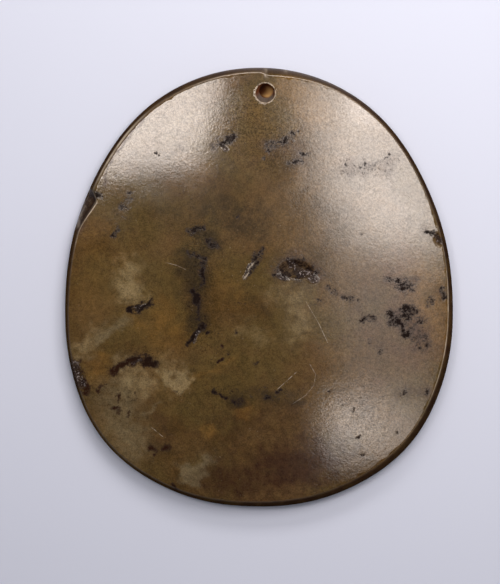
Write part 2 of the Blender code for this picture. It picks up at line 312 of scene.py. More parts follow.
MILK = {
    "left_cloud": (2.5, 0.85, [(-20.6, 2.2), (-20.2, -0.8)]),
    "left_cloud_head": (1.4, 0.5, [(-20.9, 4.0)]),
    "rim_cloud": (1.7, 0.7, [(-27.8, -9.6), (-26.4, -7.8)]),
    "below_arc": (2.6, 0.8, [(-20.6, -13.6), (-18.6, -15.2)]),
    "beside_spot": (2.0, 0.4, [(-15.2, -12.2), (-13.4, -12.4)]),
    "pale_spot": (1.6, 1.9, [(-13.2, -14.5), (-12.6, -14.9)]),
    "middle_cloud_left": (2.2, 0.35, [(-1.6, -6.4), (0.6, -8.2)]),
    "middle_cloud_top": (2.2, 0.48, [(3.4, -0.8), (6.8, -1.6)]),
    "middle_cloud_right": (2.0, 0.6, [(6.8, -3.6), (6.2, -6.4)]),
}
PALE_GREY = {
    "edge_cloud": (1.1, 0.8, [(-25.6, -8.8), (-24.6, -7.2), (-23.2, -6.0), (-21.2, -5.3)]),
    "lower_left_cloud": (4.2, 0.8, [(-22.4, -17.6), (-20.4, -24.5)]),
    "pale_line": (0.6, 0.75, [(-18.2, -19.9), (-17.0, -19.3), (-15.8, -18.4)]),
    "foot_cloud": (1.5, 1.3, [(-9.4, -29.0), (-8.0, -27.4)]),
    "foot_cloud_left": (1.4, 1.8, [(-10.9, -29.5), (-10.1, -29.9)]),
}
GOLD = {
    "left_glow": (2.4, 0.5, [(-19.6, -4.6), (-17.0, -7.0), (-15.6, -9.4)]),
    "left_upper_glow": (1.6, 0.5, [(-21.0, 4.6)]),
    "left_side": (5.0, 0.4, [(-27.0, -1.0), (-25.5, 8.0)]),
    "left_edge": (1.9, 0.7, [(-26.0, -14.2), (-24.6, -11.0)]),
    "beside_vein": (2.8, 0.62, [(-14.8, -3.4), (-13.6, -8.0)]),
    "upper_middle": (3.0, 0.4, [(-5.4, 1.6), (-3.4, -1.8)]),
    "streak": (0.6, 0.6, [(-13.4, -15.8), (-10.4, -14.6), (-6.9, -13.0), (-3.6, -11.0)]),
    "streak_glow": (1.8, 0.25, [(-12.6, -15.6), (-8.0, -13.4)]),
    "low_spot": (1.5, 1.5, [(-1.8, -19.2)]),
    "low_spot_left": (1.3, 0.95, [(-7.6, -22.4)]),
    "right_edge": (3.6, 0.75, [(26.6, 2.0), (27.4, -6.0)]),
    "top": (2.4, 0.4, [(0.2, 27.6)]),
    "top_right": (3.2, 0.9, [(5.4, 32.0), (9.2, 27.4)]),
}
RED = {
    "red_dot_a": (0.5, 0.9, [(-13.5, -15.9)]),
    "red_dot_b": (0.45, 0.9, [(-11.8, -18.0)]),
    "brown_patch": (1.4, 0.45, [(-15.6, -20.4), (-14.6, -23.4)]),
    "left": (1.6, 0.4, [(-26.2, -12.6), (-28.6, -7.2)]),
    "right": (5.0, 0.8, [(23.0, 4.0), (25.5, -9.0)]),
    "right_middle": (4.5, 0.4, [(17.0, -6.0), (19.0, -14.0)]),
    "top": (3.4, 0.3, [(1.0, 25.0), (-0.6, 21.6)]),
    "foot": (4.0, 0.6, [(4.4, -29.2), (9.0, -28.0)]),
}
UMBER = {
    "foot": (4.6, 0.8, [(-6.0, -30.5), (2.0, -31.0)]),
    "foot_right": (5.4, 1.1, [(3.6, -28.6), (10.0, -27.0)]),
    "foot_middle": (4.5, 0.45, [(-5.0, -26.0), (3.0, -24.0)]),
    "lower_middle": (4.5, 0.55, [(-4.0, -21.0), (5.0, -19.6)]),
    "low_right_stain": (1.5, 0.5, [(12.6, -24.8), (15.4, -25.2)]),
}

# Where the polish has worn grainy
GRAINED = {
    "upper_left": (8.0, 0.35, [(-13.0, 26.0), (-7.0, 28.0)]),
    "top": (5.0, 1.0, [(-2.0, 27.0), (3.0, 24.0)]),
    "lower_right": (6.5, 0.9, [(16.0, -20.0)]),
    "vein": (2.4, 0.7, [(-9.0, 8.0), (-9.2, -8.0)]),
}

# Fine scratches: strength and the line that each follows in mm
SCRATCHES = {
    "middle": (0.7, [(8.0, -2.3), (9.8, -5.4), (11.0, -8.0)]),
    "lower": (0.85, [(3.6, -15.5), (5.9, -13.4)]),
    "curved": (0.5, [(8.6, -12.2), (9.3, -13.4), (9.0, -15.2), (7.7, -16.8), (6.0, -17.9)]),
    "left": (0.5, [(-14.0, 4.1), (-12.8, 3.8), (-11.7, 3.3)]),
    "low_left": (0.8, [(-16.5, -22.4), (-15.4, -23.3)]),
    "upper_right": (0.45, [(20.4, 17.6), (24.4, 14.0)]),
}
SCRATCH_REACH = 0.6 * MM
FAR_OFF = 9.0
# Pale bruises and crystals, and painted glints on the old flake's scar: half width in mm, strength and line
# in mm
BRUISES_AND_GLINTS = {
    "slash_crystals_low": (0.14, 0.9, [(-2.0, 1.9), (-1.3, 2.6)]),
    "slash_crystals_high": (0.12, 0.8, [(-1.3, 3.0), (-0.6, 4.2)]),
    "flake_middle_glint": (0.26, 0.35, [(-27.6, 13.0), (-28.2, 11.4)]),
    "flake_foot_glint": (0.22, 0.3, [(-28.3, 11.6), (-28.9, 9.9)]),
    "top_notch": (0.22, 0.5, [(1.2, 34.6), (1.5, 33.4)]),
    "top_right_speck": (0.25, 0.45, [(4.2, 34.3)]),
}

# How many times WANDER each kind of mark strays from its lines. Ink, crust and bruises stray once.
STROKES = {
    "specks": (SPECKS, 2.0),
    "haze": (HAZE, 2.0),
    "dusk": (DUSK, 2.0),
    "milk": (MILK, 3.5),
    "pale": (PALE_GREY, 2.5),
    "gold": (GOLD, 2.0),
    "red": (RED, 3.0),
    "umber": (UMBER, 4.0),
    "rust": (RUST, 1.0),
    "grained": (GRAINED, 4.0),
}

# Where the marks stop on the edge, and where the scar of the old flake does, with its ragged foot
MARKS_STOP = 0.75 * GIRDLE_HEIGHT
MARKS_FADE = 0.35 * GIRDLE_HEIGHT
SCAR_STOP = 1.08 * GIRDLE_HEIGHT
SCAR_FADE = 0.25 * GIRDLE_HEIGHT
SCAR_RAGGEDNESS = 0.06 * GIRDLE_HEIGHT
SCAR_TEETH = 70

# The scar: its soft edge, and the painted shadow line along it
FLAKE_FULLNESS = 3.5
FLAKE_SOFT_EDGE = 0.2 * MM
FLAKE_SHADOW_BELOW = 0.38 * MM
FLAKE_SHADOW_HALF_WIDTH = 0.24 * MM
FLAKE_SHADOW_INK = 0.9
FLAKE_INK = 0.42
FLAKE_CRUST = 0.5
FLAKE_PALENESS = 0.4

# Depth at which a natural pit is wholly matt
PIT_EDGE = 0.003 * MM

# Darkness of the ground rim, partly its own darker brown and partly painted shade, as shares of its run,
# and the bands in which it stays paler, with painted light at the top
RIM_DARK_EARLY = 0.08
RIM_DARK_RUN = 0.34
TOP_DARK_LATE = 0.1
TOP_PAINTED_LIGHT = 0.25
LIT_TOP = (84, 13, 1.0)
PALE_LEFT = (215, 34, 0.5)

# Painted glints along the rim's upper edge: direction in degrees, half spread and strength
EDGE_GLINTS = {
    "right": (-6, 20, 0.75),
    "top": (97, 16, 0.4),
    "flake": (147.5, 3.2, 0.95),
    "below_flake": (156, 7, 0.35),
    "lower_right": (-40, 12, 0.1),
}
FACET_GLINT = (131, 11, 0.95)
FACET_BELOW_EDGE = 0.19 * MM
FAINT_GLINT = 0.06
ARRIS_REACH = 0.1 * MM

# Cord hole: how thick its coloured skin is, and where its painted amber glow and painted grey reflection
# lie
BORE_SKIN = 0.12 * MM
NECK_FADE = 0.2 * MM
AMBER_TURN = math.radians(-34)
AMBER_FROM = 1.4 * MM
AMBER_FADE = 1.4 * MM
MOUTH_REFLECTION_TURN = math.radians(-92)

# Colours of the stone, measured where the photo shows no reflection
BROWN = "#463416"
LIGHT_BROWN = "#5b4627"
OLIVE = "#514221"
REDDISH = "#583b20"
GOLDEN = "#6f5225"
MILKY_GREEN = "#837353"
PALE_STONE = "#6a5e45"
DARK_UMBER = "#321d0f"
DUSKY_OLIVE = "#2d2414"
HAZE_PURPLE = "#463936"
FILM_BROWN = "#33261d"
# The ground rim's own darker brown, deepened into painted shade towards its foot
RIM_BROWN_AND_SHADE = "#302117"
# Painted glow of light coming through the stone into the cord hole's bore
PAINTED_AMBER_GLOW = "#b08a58"
BORE_BROWN = "#5c3420"
# Painted reflection on the lower side of the cord hole's mouth
MOUTH_REFLECTION_GREY = "#5a5049"
INK_BLACK = "#140b09"
INK_BROWN = "#2a160b"
CRYSTAL_GREY_AND_GLINT = "#958c8a"
CRUST_DARK = "#2a2220"
# Pale wear, and the painted glints along the rim's edges and on the old flake
PALE_WEAR_AND_GLINT = "#b0a390"
PALE_FLECK = "#9a8c74"

# Marks that the material reads: the strokes, and what mark_stone works out from the stone's shape
MARKS = [*STROKES, "ink", "crust", "bruises_and_glints", "scratch", "scratch_side", "hollow"]
MARKS += ["edge", "rim_shade", "from_edge", "glint", "facet_glint", "bore", "painted_amber_glow", "mouth"]

# Stains: the most that each covers, and its colour, from the lowest to the one on top
STAINS = {
    "red": (0.8, REDDISH),
    "gold": (0.8, GOLDEN),
    "milk": (0.85, MILKY_GREEN),
    "pale": (0.85, PALE_STONE),
    "umber": (0.85, DARK_UMBER),
    "dusk": (0.85, DUSKY_OLIVE),
    "haze": (0.7, HAZE_PURPLE),
}
STAIN_FULL = 1.15

# Irregular patterns in the stone: wavelength in mm, detail, roughness, distortion and offset. The real
# grit and grain are too fine to show, so they are drawn at 0.2 and 0.3 mm, one or two pixels wide.
PATTERNS = {
    "clouds": (9.0, 3.0, 0.55, 0.6, 0.0),
    "patches": (14.0, 2.0, 0.5, 0.4, 0.31),
    "warmth": (3.2, 3.0, 0.6, 0.3, 0.59),
    "coarse": (2.2, 4.0, 0.6, 0.4, 0.53),
    "felt": (1.1, 4.0, 0.65, 0.0, 0.0),
    "speckle": (0.42, 2.0, 0.6, 0.0, 0.17),
    "grit": (0.2, 1.0, 0.5, 0.0, 0.77),
    "fleck": (0.5, 3.0, 0.75, 0.0, 0.29),
    "coarse_tear": (1.1, 4.0, 0.65, 0.0, 0.71),
    "fine_tear": (0.3, 2.0, 0.6, 0.0, 0.37),
    "speck": (0.4, 2.0, 0.7, 0.0, 0.93),
    "stray": (1.1, 3.0, 0.8, 0.0, 0.13),
    "crystal": (0.3, 2.0, 0.6, 0.0, 0.41),
    "wear": (0.9, 3.0, 0.7, 0.0, 0.67),
    "rubbing": (6.0, 2.0, 0.5, 0.0, 0.23),
    "blotch": (0.9, 2.0, 0.6, 0.0, 0.19),
    "grain": (0.3, 2.0, 0.6, 0.0, 0.61),
    "peel": (1.6, 2.0, 0.5, 0.0, 0.83),
    "dimples": (0.6, 2.0, 0.5, 0.0, 0.47),
}

# Shares that colours and gloss are mixed by: the mark or pattern that each follows, where on it the
# share starts and stops changing, and its values there
SHARES = {
    "light_brown": ("clouds", 0.35, 0.65, 0.0, 1.0),
    "olive": ("patches", 0.42, 0.6, 0.0, 0.8),
    "reddish": ("warmth", 0.45, 0.68, 0.0, 0.16),
    "felt_light": ("felt", 0.3, 0.7, 0.76, 1.1),
    "speckle_light": ("speckle", 0.3, 0.7, -0.1, 0.14),
    "grit_light": ("grit", 0.3, 0.7, -0.14, 0.26),
    "grained_light": ("grained", 0.0, 1.0, 1.0, 2.0),
    "flecks": ("fleck", 0.66, 0.74, 0.0, 0.3),
    "grained_flecks": ("grained", 0.0, 1.0, 1.0, 2.2),
    "coarse_torn": ("coarse_tear", 0.32, 0.68, -0.42, 0.42),
    "fine_torn": ("fine_tear", 0.34, 0.66, -0.26, 0.26),
    "near_ink": ("ink", 0.0, 0.5, 0.0, 1.0),
    "speck_heart": ("speck", 0.6, 0.68, 0.0, 1.0),
    "speck_reach": ("specks", 0.05, 0.9, 0.0, 0.75),
    "stray_specks": ("stray", 0.68, 0.77, 0.0, 0.5),
    "rusty": ("rust", 0.1, 0.9, 0.0, 0.85),
    "crusty": ("crust", 0.25, 0.8, 0.0, 1.0),
    "crust_shade": ("crust", 0.25, 0.8, 0.0, 0.75),
    "crystal_heart": ("crystal", 0.55, 0.64, 0.0, 0.85),
    "crystal_reach": ("crust", 0.35, 0.85, 0.0, 1.0),
    "rim_patchy": ("coarse", 0.36, 0.62, 0.66, 1.0),
    "edge_broken": ("coarse", 0.4, 0.56, 0.55, 1.0),
    "lip_broken": ("crystal", 0.38, 0.6, 0.3, 1.0),
    "scratch_broken": ("wear", 0.36, 0.6, 0.07, 0.7),
    "bruises_and_glints_broken": ("felt", 0.4, 0.6, 0.4, 1.0),
    "rubbed": ("rubbing", 0.3, 0.7, 0.085, 0.115),
    "dull_haze": ("haze", 0.1, 1.0, 0.0, 1.0),
    "grit_gloss": ("grit", 0.3, 0.7, -0.09, 0.09),
    "speckle_gloss": ("speckle", 0.3, 0.7, -0.05, 0.05),
    "grained_gloss": ("grained", 0.0, 1.0, 1.0, 1.6),
    "blotchy": ("blotch", 0.36, 0.64, -0.06, 0.06),
}

# Inclusions and the film round them: where each starts and is full, and the most that it covers
INK_CORE = (0.3, 1.1, 0.96)
INK_FILM = (0.05, 0.9, 0.6)

# What breaks the polish: how much rougher each leaves it, and how much of the gloss each takes
UNPOLISHED = {
    "inked": (0.25, 0.98),
    "crusty": (0.3, 0.8),
    "film": (0.0, 0.5),
    "dull_haze": (0.0, 0.45),
    "hollow": (0.3, 0.95),
    "worn": (0.5, 0.0),
    "edge": (0.35, 1.0),
    "bore": (0.0, 0.7),
}
GLOSS = 0.485

# Thin pale lines, worn ones and painted glints: half widths in mm, and how far out on its worn lip the cord
# hole's line lies
SCRATCH_HALF_WIDTH = 0.05
ARRIS_HALF_WIDTH = 0.08
FACET_HALF_WIDTH = 0.16
LIP_HALF_WIDTH = 0.09
LIP_LINE = 0.7

# Fine relief of the polish, as multiples of one height
RELIEF_HEIGHT = 0.002 * MM
POLISH_RELIEF = {"grain": 2.0, "peel": 1.5, "dimples": 1.8}
INK_DEPTH = -1.5
CRYSTAL_HEIGHT = 40.0

NEPHRITE_IOR = 1.61

# Light that sinks a little way into the stone: share, reach and how far each colour gets
GLOW_SHARE = 0.08
GLOW_DEPTH = 1.2 * MM
GLOW_COLOURS = (1.0, 0.55, 0.2)

# Sizes of the stone's skin. The noise that scales its heights and depths stays well under 1.
SURFACE_SIZES = {
    "Wave Height": 0.012 * MM,
    "Wave Length": 5.0 * MM,
    "Pit Depth": 0.006 * MM,
    "Crust Height": 0.12 * MM,
    "Crust Grain": 0.45 * MM,
    "Chip Depth": 0.64 * MM,
    "Chip Length": 0.9 * MM,
}
INK_SINKS = 0.6
CHIPS_APART = 0.06

# Camera: almost straight above, leaning a little to the upper right
PHOTO_WIDTH, PHOTO_HEIGHT = 500, 584
PHOTO_MIDDLE_X, PHOTO_MIDDLE_Y = 258.1, 288.3
PHOTO_STONE_HEIGHT = 439.3
CAMERA_DISTANCE = 350 * MM
CAMERA_LEAN = math.radians(5)
CAMERA_SIDE = math.radians(45)
SENSOR_HEIGHT = 24.0
NEAREST_SEEN = 10 * MM

# Stage
FLOOR_SIZE = 4.0
FLOOR_COLOUR = "#d3dbee"
LIGHT_HEIGHT = 300 * MM
WARM_LIGHT = "#fff4ec"
ROOM_LIGHT = "#f2f4ff"
ROOM_SIDES = 0.22
ROOM_CEILING = 0.08

# Softboxes: middle in mm, how much higher each hangs in mm, size in mm, radiance, and the edges of its
# light: direction in degrees, distance at which it starts and width over which it rises, in mm
SOFTBOXES = {
    "upper_left_softbox": ((-78, 58), 0, (84, 64), 12.2, [(161.9, 55.1, 5), (96.8, 44.3, 4)]),
    "right_softbox": (
        (40, 38),
        0,
        (104, 108),
        10.6,
        [(14, 22.5, 38), (78, 14, 34), (285, -80, 110), (180, -78, 60)],
    ),
    "right_wall": ((50, -42), 30, (82, 125), 1.45, [(0, 24, 24), (180, -76, 24)]),
    "right_skirt": ((32, -20), 60, (84, 62), 0.6, [(0, -3, 8), (90, -44, 26), (180, -60, 24)]),
    "lower_right_softbox": (
        (49, -80),
        15,
        (70, 60),
        7.3,
        [(0, 17.2, 1.6), (270, 71, 20), (90, -95, 20), (180, -46, 84)],
    ),
    "ceiling_glow": ((-20, 40), 45, (100, 100), 0.15, [(0, -60, 30), (180, -30, 40), (90, -5, 30)]),
    "top_window": ((15, 230), -100, (220, 110), 7.0, []),
    "upper_window": ((88, 98), -90, (130, 100), 7.4, []),
}


def ease(share):
    """A smooth step from 0 to 1."""
    share = np.clip(share, 0, 1)
    return share * share * (3 - 2 * share)


def linear(hex_colour, alpha=1.0):
    """An sRGB hex colour as the linear values that Blender takes."""
    values = np.array([int(hex_colour[n : n + 2], 16) for n in (1, 3, 5)]) / 255
    low = values / 12.92
    high = ((values + 0.055) / 1.055) ** 2.4
    return (*np.where(values <= 0.04045, low, high).tolist(), alpha)


def outline_reach(direction):
    """How far the outline is from the middle of the waist, in a direction counted from +X."""
    across, along = abs(np.cos(direction)), abs(np.sin(direction))
    upper = np.sin(direction) > 0
    half_height = np.where(upper, ABOVE_WAIST, WAIST_ABOVE_FOOT)
    lower_squareness = np.where(np.cos(direction) < 0, LOWER_LEFT_SQUARENESS, LOWER_RIGHT_SQUARENESS)
    squareness = np.where(upper, UPPER_SQUARENESS, lower_squareness)
    reach = ((2 * across / WIDTH) ** squareness + (along / half_height) ** squareness) ** (-1 / squareness)
    off_axis = np.sin(2 * direction) ** 2
    return reach + GRINDING_WOBBLE * off_axis * np.cos(GRINDING_LOBES * (direction - FIRST_LOBE))


def rim_run(direction):
    """Width of the ground rim seen from above, without the flake."""
    unevenness = RIM_UNEVENNESS * np.cos(2 * (direction - WIDEST_RIM))
    return RIM_RUN * (1 + unevenness + RIM_FOOT_GROWTH * np.cos(direction - RIM_FOOT))


def flake_share(direction, name):
    """How much of a flake's full bite is left in each direction."""
    direction = direction % (2 * math.pi)
    head, full, tail = FLAKES[name][1:]
    rise = ease((direction - head) / (full - head))
    fall = 1 - ease((direction - head) / (tail - head))
    return rise * fall


def flake_bite(direction):
    """How much further in the flakes take the rim's upper edge."""
    return sum(bite * flake_share(direction, name) for name, (bite, *_) in FLAKES.items())


def on_disc(direction, reach):
    """The points at those distances from the middle of the waist."""
    return reach * np.cos(direction), WAIST_Y + reach * np.sin(direction)


def pit_depth(x, y):
    """Depth of the natural pits at each point of the face."""
    depth = np.zeros_like(x)
    for direction, share, half_length, half_width, lean, deepest in PITS.values():
        middle_x, middle_y = on_disc(direction, share * outline_reach(direction))
        aside, ahead = x - middle_x, y - middle_y
        along = (aside * math.cos(lean) + ahead * math.sin(lean)) / half_length
        over = (ahead * math.cos(lean) - aside * math.sin(lean)) / half_width
        depth += deepest * ease(PIT_WALL * (1 - np.hypot(along, over)))
    return depth


def face_height(x, y):
    """Height of the domed face."""
    return THICKNESS - CROWN * ((2 * x / WIDTH) ** 2 + (2 * y / HEIGHT) ** 2) - pit_depth(x, y)


def face_points(direction, share):
    """Points of the face, where share runs from 0 at the middle to 1 at the rim's upper edge."""
    reach = share * (outline_reach(direction) - rim_run(direction))
    to_edge = (1 - share) * outline_reach(direction) / FLAKE_INLAND
    x, y = on_disc(direction, reach - flake_bite(direction) * ease(1 - to_edge))
    return np.stack([x, y, face_height(x, y)], 1)


def rim_points(direction, share):
    """Points of the ground rim, where share runs from 0 at its upper edge to 1 at the girdle."""
    edge_height = face_points(direction, 1.0)[:, 2]
    turn = (1 - share) * RIM_ROUNDNESS
    inward = (1 - math.cos(turn)) / (1 - math.cos(RIM_ROUNDNESS))
    upward = math.sin(turn) / math.sin(RIM_ROUNDNESS)
    bite = flake_bite(direction)
    hollow = FLAKE_HOLLOW * flake_share(direction, "upper_left") * math.sin(math.pi * share)
    x, y = on_disc(direction, outline_reach(direction) - (rim_run(direction) + bite) * inward - hollow)
    return np.stack([x, y, GIRDLE_HEIGHT + (edge_height - GIRDLE_HEIGHT) * upward - hollow], 1)


def under_points(direction, share):
    """Points below the girdle, where share runs from 0 there to 1 at the underside's edge."""
    turn = share * UNDER_ROUNDNESS
    inward = (1 - math.cos(turn)) / (1 - math.cos(UNDER_ROUNDNESS))
    downward = math.sin(turn) / math.sin(UNDER_ROUNDNESS)
    x, y = on_disc(direction, outline_reach(direction) - UNDER_RUN * inward)
    return np.stack([x, y, np.full_like(x, GIRDLE_HEIGHT * (1 - downward))], 1)


def under_margin_points(direction):
    """A flat ring just inside the underside's edge, which keeps the rim's shading off the flat."""
    x, y = on_disc(direction, outline_reach(direction) - UNDER_RUN - UNDER_MARGIN)
    return np.stack([x, y, np.zeros_like(x)], 1)


def core_nodes():
    """Directions and shares of the square core's nodes, row by row from its lower left corner."""
    line = np.tan(math.pi / 4 * np.linspace(-1, 1, CORE_CELLS + 1))
    across, along = (side.ravel() for side in np.meshgrid(line, line))
    border = np.maximum(abs(across), abs(along))
    rounding = CORE_ROUNDING * border**2
    share = CORE_SHARE * ((1 - rounding) * np.hypot(across, along) + rounding * border)
    return np.arctan2(along, across), share


def core_quads():
    """Corner numbers of the core's cells."""
    nodes = np.arange((CORE_CELLS + 1) ** 2).reshape(CORE_CELLS + 1, -1)
    return np.stack([nodes[:-1, :-1], nodes[:-1, 1:], nodes[1:, 1:], nodes[1:, :-1]], -1).reshape(-1, 4)


def core_border():
    """Numbers of the core's border nodes, anticlockwise from its lower right corner."""
    nodes = np.arange((CORE_CELLS + 1) ** 2).reshape(CORE_CELLS + 1, -1)
    return np.concatenate([nodes[:-1, -1], nodes[-1, :0:-1], nodes[:0:-1, 0], nodes[0, :-1]])


def new_object(name, points, faces):
    """A new mesh object in the scene."""
    mesh = bpy.data.meshes.new(name)
    mesh.from_pydata(points.tolist(), [], faces)
    mesh.update()
    obj = bpy.data.objects.new(name, mesh)
    bpy.context.scene.collection.objects.link(obj)
    return obj


def make_disc():
    """The closed disc before it is drilled: a square core, rings to the edge, the rim and the underside."""
    direction, share = core_nodes()
    points = [face_points(direction, share)]
    border = core_border()
    sector = FIRST_CORNER + 2 * math.pi * np.arange(SECTORS) / SECTORS
    for ring in range(1, FACE_RINGS + 1):
        out = ring / FACE_RINGS
        points.append(face_points(sector, share[border] + (1 - share[border]) * out))
    points += [rim_points(sector, n / RIM_ROWS) for n in range(1, RIM_ROWS + 1)]
    points += [under_points(sector, n / UNDER_ROWS) for n in range(1, UNDER_ROWS + 1)]
    points.append(under_margin_points(sector))

    faces = core_quads().tolist()
    last = border
    for row in range(len(points) - 1):
        following = len(points[0]) + row * SECTORS + np.arange(SECTORS)
        quads = np.stack([last, following, np.roll(following, -1), np.roll(last, -1)], 1)
        faces += quads.tolist()
        last = following
    faces.append(last[::-1].tolist())
    return new_object("stone", np.concatenate(points), faces)


def bore_at(height):
    """Radius and middle of the cord hole at each height between its lips."""
    slant = NECK_HEIGHT * math.tan(BORE_LEAN)
    neck = (HOLE_X + NECK_SHIFT * math.cos(NECK_TURN), HOLE_Y + NECK_SHIFT * math.sin(NECK_TURN))
    exit_place = (neck[0] + slant * math.cos(BORE_TURN), neck[1] + slant * math.sin(BORE_TURN))
    heights = (LIP_WEAR, NECK_HEIGHT, mouth_height())
    radius = np.interp(height, heights, (EXIT_RADIUS, NECK_RADIUS, MOUTH_RADIUS))
    x = np.interp(height, heights, (exit_place[0], neck[0], HOLE_X))
    y = np.interp(height, heights, (exit_place[1], neck[1], HOLE_Y))
    return radius, x, y


def mouth_height():
    """Height of the cord hole's mouth, below its worn lip."""
    return float(face_height(np.array(HOLE_X), np.array(HOLE_Y))) - LIP_WEAR


def make_drill():
    """The cutter of the cord hole: a slanting bore and a worn mouth, chipped round its lip."""
    mouth = mouth_height()
    bore = np.linspace(LIP_WEAR, NECK_HEIGHT, HOLE_ROWS)
    heights = np.concatenate([bore, np.linspace(NECK_HEIGHT, mouth, HOLE_ROWS)[1:]])
    radii, middles_x, middles_y = bore_at(heights)
    chipped = ease((heights - NECK_HEIGHT) / (mouth - NECK_HEIGHT)) ** 2
    flare = LIP_WEAR + DRILL_OVERRUN
    rows = [(radii[0] + flare, -DRILL_OVERRUN, middles_x[0], middles_y[0], 0.0)]
    rows += list(zip(radii, heights, middles_x, middles_y, chipped))
    rows.append((MOUTH_RADIUS + flare, mouth + flare, HOLE_X, HOLE_Y, 1.0))

    turn = 2 * math.pi * np.arange(HOLE_SIDES) / HOLE_SIDES
    rng = np.random.default_rng(SEED)
    chips = np.zeros(HOLE_SIDES)
    for waves in LIP_CHIP_WAVES:
        size = rng.uniform(-1, 1)
        chips += size * np.cos(waves * turn + rng.uniform(0, 2 * math.pi)) / waves**0.5
    points = []
    for radius, height, middle_x, middle_y, share in rows:
        reach = radius + LIP_CHIPS * share * chips
        x, y = middle_x + reach * np.cos(turn), middle_y + reach * np.sin(turn)
        points.append(np.stack([x, y, np.full_like(x, height)], 1))
    faces = []
    for row in range(len(rows) - 1):
        lower = row * HOLE_SIDES + np.arange(HOLE_SIDES)
        upper_row = lower + HOLE_SIDES
        quads = np.stack([lower, np.roll(lower, -1), np.roll(upper_row, -1), upper_row], 1)
        faces += quads.tolist()
    faces.append(np.arange(HOLE_SIDES)[::-1].tolist())
    faces.append(((len(rows) - 1) * HOLE_SIDES + np.arange(HOLE_SIDES)).tolist())
    return new_object("cord_hole_drill", np.concatenate(points), faces)


def evaluated_mesh(obj):
    """The object's mesh with its modifiers applied, as a new mesh."""
    graph = bpy.context.evaluated_depsgraph_get()
    return bpy.data.meshes.new_from_object(obj.evaluated_get(graph))


def drilled_disc():
    """The disc with the cord hole cut through it, as a plain mesh."""
    disc = make_disc()
    drill = make_drill()
    cut = disc.modifiers.new("cord hole", "BOOLEAN")
    cut.operation = "DIFFERENCE"
    cut.object = drill
    mesh = evaluated_mesh(disc)
    for spare in (disc, drill):
        bpy.data.objects.remove(spare)
    return mesh


def ripple(x, y, length, seed):
    """Smooth irregular waves between about -1 and 1, of roughly the given length."""
    rng = np.random.default_rng(seed)
    total = np.zeros_like(x)
    for _ in range(RIPPLES):
        turn, phase = rng.uniform(0, 2 * math.pi, 2)
        pitch = 2 * math.pi / (length * rng.uniform(*RIPPLE_SPREAD))
        total += np.sin(pitch * (x * math.cos(turn) + y * math.sin(turn)) + phase)
    return total / RIPPLES**0.5


def stroke_field(x, y, strokes, stray):
    """How strongly each point lies on the strokes, which wander and fray away from their drawn lines."""
    field = np.zeros_like(x)
    moved = []
    for start, seed in ((x, SEED), (y, SEED + 2)):
        slow = ripple(x, y, WANDER_LENGTH, seed)
        quick = ripple(x, y, FRAY_LENGTH, seed + 1)
        moved.append(start + stray * WANDER * (slow + FRAY_SHARE * quick))
    moved_x, moved_y = moved
    for half_width, strength, line in strokes.values():
        spots = np.array(line) * MM
        starts, ends = (spots[:-1], spots[1:]) if len(spots) > 1 else (spots, spots)
        nearest = np.full_like(x, np.inf)
        for (start_x, start_y), (end_x, end_y) in zip(starts, ends):
            run_x, run_y = end_x - start_x, end_y - start_y
            length = max(run_x**2 + run_y**2, 1e-12)
            along = ((moved_x - start_x) * run_x + (moved_y - start_y) * run_y) / length
            along = np.clip(along, 0, 1)
            away = np.hypot(moved_x - start_x - along * run_x, moved_y - start_y - along * run_y)
            nearest = np.minimum(nearest, away)
        field = np.maximum(field, strength * np.exp(-((nearest / (half_width * MM)) ** 2)))
    return field


def scratch_fields(x, y):
    """Distance from the nearest scratch in mm, signed by its side, and how strong that scratch is there."""
    across, share, nearest = np.full_like(x, FAR_OFF), np.zeros_like(x), np.full_like(x, np.inf)
    for strength, line in SCRATCHES.values():
        spots = np.array(line) * MM
        for (start_x, start_y), (end_x, end_y) in zip(spots[:-1], spots[1:]):
            length = math.hypot(end_x - start_x, end_y - start_y)
            run_x, run_y = (end_x - start_x) / length, (end_y - start_y) / length
            ahead = (x - start_x) * run_x + (y - start_y) * run_y
            aside = (y - start_y) * run_x - (x - start_x) * run_y
            away = np.hypot(aside, ahead - np.clip(ahead, 0, length))
            nearer = away < nearest
            nearest = np.where(nearer, away, nearest)
            across = np.where(nearer, aside / MM, across)
            share = np.where(nearer, strength * ease(2 - 2 * away / SCRATCH_REACH), share)
    return across, share


def glint_share(direction, glint):
    """How strong a glint along the rim is in each direction."""
    middle, spread, strength = glint
    away = (np.degrees(direction) - middle + 180) % 360 - 180
    return strength * np.exp(-((away / spread) ** 2))


def add_field(mesh, name, values):
    """Stores one value for each point of the mesh."""
    mesh.attributes.new(name, "FLOAT", "POINT").data.foreach_set("value", values.astype(np.float32))


